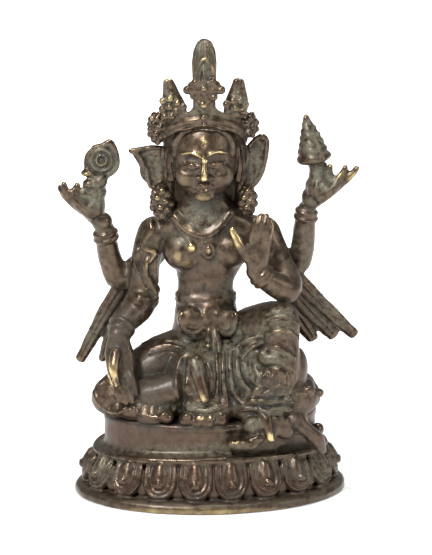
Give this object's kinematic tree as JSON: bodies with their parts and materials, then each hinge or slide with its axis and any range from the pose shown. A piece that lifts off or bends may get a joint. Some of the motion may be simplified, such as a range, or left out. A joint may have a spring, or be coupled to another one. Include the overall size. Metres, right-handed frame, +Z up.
{
  "type": "vasudhara figure",
  "caption": "Small patinated bronze of a four-armed goddess seated at ease on an oval lotus plinth, cast in one with it.",
  "frame": {"origin": "middle of the plinth's flat underside", "axes": "+Z up, +X along the plinth's long side to the viewer's right, -Y towards the front; the figure sits turned 7 degrees to the viewer's left on the plinth"},
  "size_m": [0.0972, 0.064, 0.1483],
  "materials": {
    "patinated_bronze": "old brown patina over copper alloy, grey-green in the hollows, rubbed to yellow metal on the high points"
  },
  "bodies": {
    "root": {"vasudhara_on_lotus_plinth": "patinated_bronze"}
  },
  "joints": []
}
